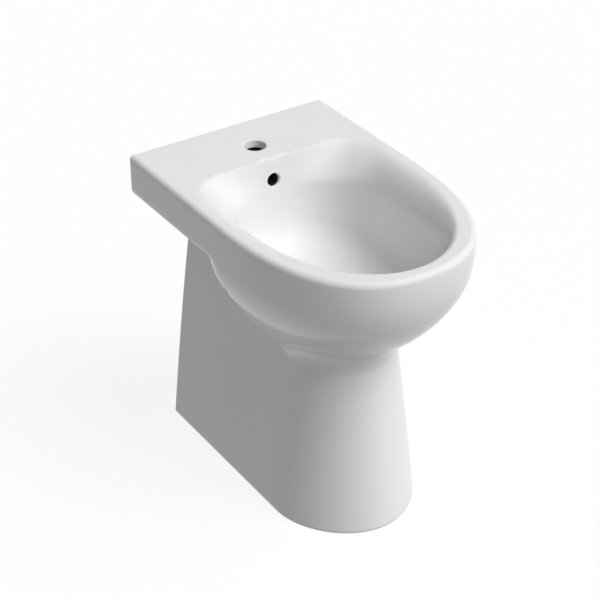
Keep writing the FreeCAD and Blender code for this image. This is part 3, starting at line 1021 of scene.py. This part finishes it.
def make_plug():
    dome = [(0, 363.3), (20, 363.3), (20.6, 364.1), (24, 364.1), (24.5, 363.3), (29.3, 363.3),
            (29.8, 363.6), (30, 364.2), (30, 365.4), (29.8, 366.1)]
    crown, curve = 372.3, 78
    for radius in (29, 27.5, 25, 22, 18.5, 15, 11, 7, 3.5, 0):
        dome.append((radius, crown - curve + math.sqrt(curve ** 2 - radius ** 2)))
    fitting("plug_dome", lathe(on_drain, dome, open_ends=True), "chrome", "plug_cap", "plug")
    seal = lathe(on_drain, [(24.5, 363.3), (27.1, 363.3), (27.5, 362.9), (27.5, 362), (27.2, 361.5),
                            (26.5, 361.3), (25, 361.3), (24.5, 361.8)])
    fitting("plug_ring", seal, "rubber", "plug_seal", "plug")
    stem = lathe(on_drain, [(0, 308), (2.3, 308), (3.05, 308.8), (3.05, 310.6), (2.4, 311),
                            (2.4, 312.4), (3.05, 312.8), (3.05, 363.3), (0, 363.3)],
                 open_ends=True, count=48)
    fitting("plug_stem", stem, "steel", "plug_spindle", "plug")
    guide = lathe(on_drain, [(3.1, 316), (4.5, 316), (5, 316.5), (5, 332), (6.7, 332), (7, 332.4),
                             (7, 334.4), (6.5, 335), (3.5, 335), (3.1, 334.6)], count=48)
    fitting("stem_guide", guide, "brass", "cartridge_sleeve")


def make_spring():
    """The plug's coil spring, with a closed turn at each end."""
    turns, steps, wire_steps = 6, 32, 12
    coil, wire = 3.95, 0.45
    foot, closed_rise, open_rise = 335.5, 0.9, 25.5

    def ring(number):
        turn = number / steps
        lower = min(turn, 1) * closed_rise
        middle = ease((turn - 1) / (turns - 2)) * open_rise
        upper = max(turn - turns + 1, 0) * closed_rise
        height = foot + lower + middle + upper

        def outline(station):
            around = 2 * math.pi * station / wire_steps
            reach = coil + wire * math.cos(around)
            return on_drain(reach, 2 * math.pi * turn, height + wire * math.sin(around))
        return outline

    rings = [ring(number) for number in range(turns * steps + 1)]
    spring = fitting("plug_spring", skin_of(rings, wire_steps), "steel", "return_spring")
    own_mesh(spring)


make_waste()
make_waste_rings()
make_plug()
make_spring()


# Bottle trap
def make_trap_inlet():
    union = nut_mesh(on_drain, 52, 248, 276, (20.5, 257), (16.3, 248))
    fitting("inlet_union", union, "plastic", "inlet_nut")
    pipe = lathe(on_drain, [(14.2, 85.8), (15.6, 85.8), (16, 86.2), (16, 257), (20.1, 257),
                            (20.5, 257.4), (20.5, 259.6), (20.1, 260), (14.6, 260), (14.2, 259.6)])
    fitting("dip_pipe", pipe, "plastic", "dip_tube")
    union = nut_mesh(on_drain, 54, 184, 202, (16.3, 198), (22, 184))
    fitting("dip_union", union, "plastic", "dip_nut")


def make_trap_bottle():
    """The bottle, with a thread at its neck and a threaded branch to the outlet."""
    bend = 6
    shoulder = [(35 - bend * (1 - math.cos(turn)), 176 + bend * math.sin(turn))
                for turn in spread_out(0, math.pi / 2, 7)]
    foot = [(32, 112), (34.5, 112), (35, 112.5), (35, 127.6), (34.2, 128.2), (34.2, 129.4),
            (35, 130)]
    neck = [(24.4, 182), (22.8, 182.6), (22, 184)]
    neck += thread(22, ridge=0.7, low=184.4, high=194.6, pitch=2.4)
    inside = [(21.6, 196), (19, 196), (19, 190), (16.3, 190), (16.3, 179), (30, 179), (32, 177)]
    bottle = lathe(on_drain, foot + shoulder + neck + inside)
    # The branch runs towards the wall, so the places of its thread are mirrored
    branch_middle = 260
    ridges = [(radius, 2 * branch_middle - place)
              for radius, place in thread(22, ridge=0.7, low=264.4, high=274.6, pitch=2.4)]
    branch = lathe(on_outlet, [(14.2, 281), (25, 281), (24.6, 276), (23, 272.4), (22, 270)] + ridges
                   + [(21.6, 244), (19, 244), (19, 260), (14.2, 260)])
    fitting("trap_bottle", join(bottle, branch), "plastic", "trap_body")


def make_trap_cup():
    """The cup that unscrews, with a ribbed grip."""
    bend = 8
    base = [(27 + bend * math.sin(turn), 70 - bend * math.cos(turn))
            for turn in spread_out(0, math.pi / 2, 8)]
    rib = 0.9
    grip = [(35, 103.6), (36, 105), (38, 106), (39, 107.4, rib), (39, 124.4, rib), (38, 126)]
    inside = [(35.6, 126), (35.1, 125.4), (35.1, 110), (32, 110), (32, 70), (29, 66), (0, 66)]
    cup = [(0, 64), (11, 64), (13.5, 62.6), (15, 62)] + base + grip + inside
    fitting("trap_bowl", lathe(on_drain, cup, ribs=28, open_ends=True, count=224), "plastic",
            "trap_cup")


def make_outlet():
    union = nut_mesh(on_outlet, 54, 238, 256, (22, 242), (16.3, 238))
    fitting("outlet_union", union, "plastic", "outlet_nut")
    bead = [(16, 59.6), (16.5, 60.2), (17.3, 60.4), (17.5, 61), (17.5, 62), (17.3, 62.6),
            (16.5, 62.8), (16, 63.4)]
    pipe = lathe(on_outlet, [(14.2, 0.4), (14.6, 0), (15.4, 0), (16, 0.8)] + bead
                 + [(16, 260), (14.2, 260)])
    fitting("wall_pipe", pipe, "plastic", "outlet_pipe")


make_trap_inlet()
make_trap_bottle()
make_trap_cup()
make_outlet()


# Floor brackets
def make_brackets():
    """An angle on the right with a floor slot and a clamp hole, and its mirrored copy."""
    width, thick, toe, face, height = 40, 3, 35, 80, 46
    bend = [math.radians(turn) for turn in (0, 22.5, 45, 67.5, 90)]
    bend_out, bend_in = 4.5, 1.5
    bend_x = face - bend_out
    side = [(toe, 0)]
    side += [(bend_x + bend_out * math.sin(turn), bend_out - bend_out * math.cos(turn))
             for turn in bend]
    side += [(face, height), (face - thick, height)]
    side += [(bend_x + bend_in * math.cos(turn), bend_out - bend_in * math.sin(turn))
             for turn in bend]
    side += [(toe, thick)]
    outline = [spot(x, clamp_from_wall + width / 2, z) for x, z in side]
    mesh = plate_mesh(outline, (0, width / 1000, 0))
    head = (height - 0.1) / 1000
    ends = [edge for edge in mesh.edges
            if all(corner.co.z > head for corner in edge.verts) and reach_of(edge, 0) > 1e-4]
    tip = (toe + 0.1) / 1000
    ends += [edge for edge in mesh.edges
             if all(corner.co.x < tip for corner in edge.verts) and reach_of(edge, 2) > 1e-4]
    round_edges(mesh, ends, 7, 6)
    right = as_object("bracket_right", soften(mesh, 0.4, 2))
    slot = block_mesh(half=9, rear=85.75, front=94.25, bottom=-2, height=8, soft=4.2)
    bmesh.ops.translate(slot, vec=(0.055, 0, 0), verts=slot.verts)
    hole = mouth_cutter("clamp_hole", 4.3, soft=0.4, reach=8,
                        place=spot(face - thick, clamp_from_wall, clamp_level), along=(-1, 0, 0))
    carve(right, as_object("slot", slot), hole)
    left = bpy.data.objects.new("bracket_left", right.data.copy())
    bpy.context.scene.collection.objects.link(left)
    left.data.transform(Matrix.Scale(-1, 4, (1, 0, 0)))
    left.data.flip_normals()
    dress(right, "bidet", "steel", "floor_bracket_right")
    dress(left, "bidet", "steel", "floor_bracket_left")


def make_clamps():
    """The screws, nuts and pads that set the brackets against the pedestal's inside."""
    head = lathe(on_clamp, [(0, 65.6), (4.6, 65.6), (5.4, 65.2), (6.2, 65.2), (6.9, 65.7),
                            (7.6, 66.4), (7.6, 69.8), (7, 70.5), (0, 70.5)],
                 flats=13, open_ends=True)
    ridges = thread(4, ridge=0.5, low=71, high=94, pitch=1.25)
    shank = lathe(on_clamp, [(0, 70), (4, 70)] + ridges + [(3.4, 94.4), (3, 95), (0, 95)],
                  open_ends=True, count=40)
    bolt = join(soften(head, 0.25, 2), shank)
    fitting("clamp_bolts", both_sides(bolt), "steel", "clamp_screws")
    nut = nut_mesh(on_clamp, 13, 70.5, 77, (4, 70.5), soft=0.2, segments=2, count=72)
    fitting("clamp_hex_nuts", both_sides(nut), "steel", "clamp_nuts")

    pad = lathe(on_clamp, [(0, 95), (4, 95), (4, 92), (9.6, 92), (10.6, 92.4), (11, 93.4), (11, 96),
                           (10.3, 96.6), (10.3, 97.4), (11, 98), (11, 112), (0, 112)],
                open_ends=True)
    # The pad's end follows the slope of the pedestal's inside
    half = pedestal_half(clamp_level)
    lean = half - pedestal_half(clamp_level + 1)
    cut = bmesh.ops.bisect_plane(pad, geom=all_of(pad), dist=1e-7, clear_outer=True,
                                 plane_co=spot(half - pedestal_wall, clamp_from_wall, clamp_level),
                                 plane_no=(1, 0, lean))
    bmesh.ops.edgeloop_fill(pad, edges=edges_of(cut["geom_cut"]))
    fitting("clamp_pads", both_sides(pad), "rubber", "grip_pads")


make_brackets()
make_clamps()

# Finishes of the CAD nodes, of which those that no piece stands for are seen
for part in frame["record"]["subparts"]:
    node = nodes[part["node"]]
    node.data.materials.clear()
    node.data.materials.append(finishes[part["material_slot"]])

# Floor, light and camera
floor_reach = 40
floor_shadow = 0.12
floor_bounce = 0.37
room_fill = 0.305
lamp_energy = 2.94
lamp_spread = 40
lamp_from = (0.345, -0.545, 0.764)
film_width = 36
focal_length = 100.06
camera_place = (-1.19046, -1.72438, 1.67741)
camera_tilt = 32.968
camera_turn = -33.743


def glow(tree, kind, strength):
    light = tree.nodes.new(kind)
    light.inputs["Strength"].default_value = strength
    return light


def show(tree, out, lighting, shown):
    """Shows one shader to the camera, in reflections and through glass, and lights by another."""
    path = tree.nodes.new("ShaderNodeLightPath")
    seen = path.outputs["Is Camera Ray"]
    for ray in ("Is Glossy Ray", "Is Transmission Ray"):
        either = tree.nodes.new("ShaderNodeMath")
        either.operation = "MAXIMUM"
        tree.links.new(seen, either.inputs[0])
        tree.links.new(path.outputs[ray], either.inputs[1])
        seen = either.outputs[0]
    choice = tree.nodes.new("ShaderNodeMixShader")
    tree.links.new(seen, choice.inputs["Fac"])
    tree.links.new(lighting.outputs[0], choice.inputs[1])
    tree.links.new(shown.outputs[0], choice.inputs[2])
    tree.links.new(choice.outputs[0], out.inputs["Surface"])


def make_floor():
    """White paper that keeps a faint shadow and throws an even light back."""
    mesh = bmesh.new()
    bmesh.ops.create_grid(mesh, x_segments=1, y_segments=1, size=floor_reach)
    floor = as_object("floor", mesh)
    paper = bpy.data.materials.new("white_paper")
    paper.use_nodes = True
    tree = paper.node_tree
    tree.nodes.clear()
    out = tree.nodes.new("ShaderNodeOutputMaterial")
    lit = tree.nodes.new("ShaderNodeBsdfDiffuse")
    lit.inputs["Color"].default_value = (1, 1, 1, 1)
    page = tree.nodes.new("ShaderNodeMixShader")
    page.inputs["Fac"].default_value = floor_shadow
    tree.links.new(glow(tree, "ShaderNodeEmission", 1.0).outputs[0], page.inputs[1])
    tree.links.new(lit.outputs[0], page.inputs[2])
    show(tree, out, glow(tree, "ShaderNodeEmission", floor_bounce), page)
    floor.data.materials.append(paper)


def make_room():
    """A pale room for the camera and for reflections, and an even soft light for the surfaces."""
    room = bpy.data.worlds.new("room")
    bpy.context.scene.world = room
    room.use_nodes = True
    tree = room.node_tree
    tree.nodes.clear()
    out = tree.nodes.new("ShaderNodeOutputWorld")
    show(tree, out, glow(tree, "ShaderNodeBackground", room_fill),
         glow(tree, "ShaderNodeBackground", 1.0))


def make_lamp():
    lamp = bpy.data.lights.new("key", "SUN")
    lamp.energy = lamp_energy
    lamp.angle = math.radians(lamp_spread)
    key = bpy.data.objects.new("key", lamp)
    key.rotation_mode = "QUATERNION"
    key.rotation_quaternion = Vector(lamp_from).to_track_quat("Z", "Y")
    key.visible_glossy = False
    bpy.context.scene.collection.objects.link(key)


def make_camera():
    lens = bpy.data.cameras.new("camera")
    lens.sensor_width = film_width
    lens.lens = focal_length
    camera = bpy.data.objects.new("camera", lens)
    camera.location = camera_place
    camera.rotation_euler = (math.radians(90 - camera_tilt), 0, math.radians(camera_turn))
    bpy.context.scene.collection.objects.link(camera)
    bpy.context.scene.camera = camera


make_floor()
make_room()
make_lamp()
make_camera()
bpy.context.scene.view_settings.view_transform = "Standard"
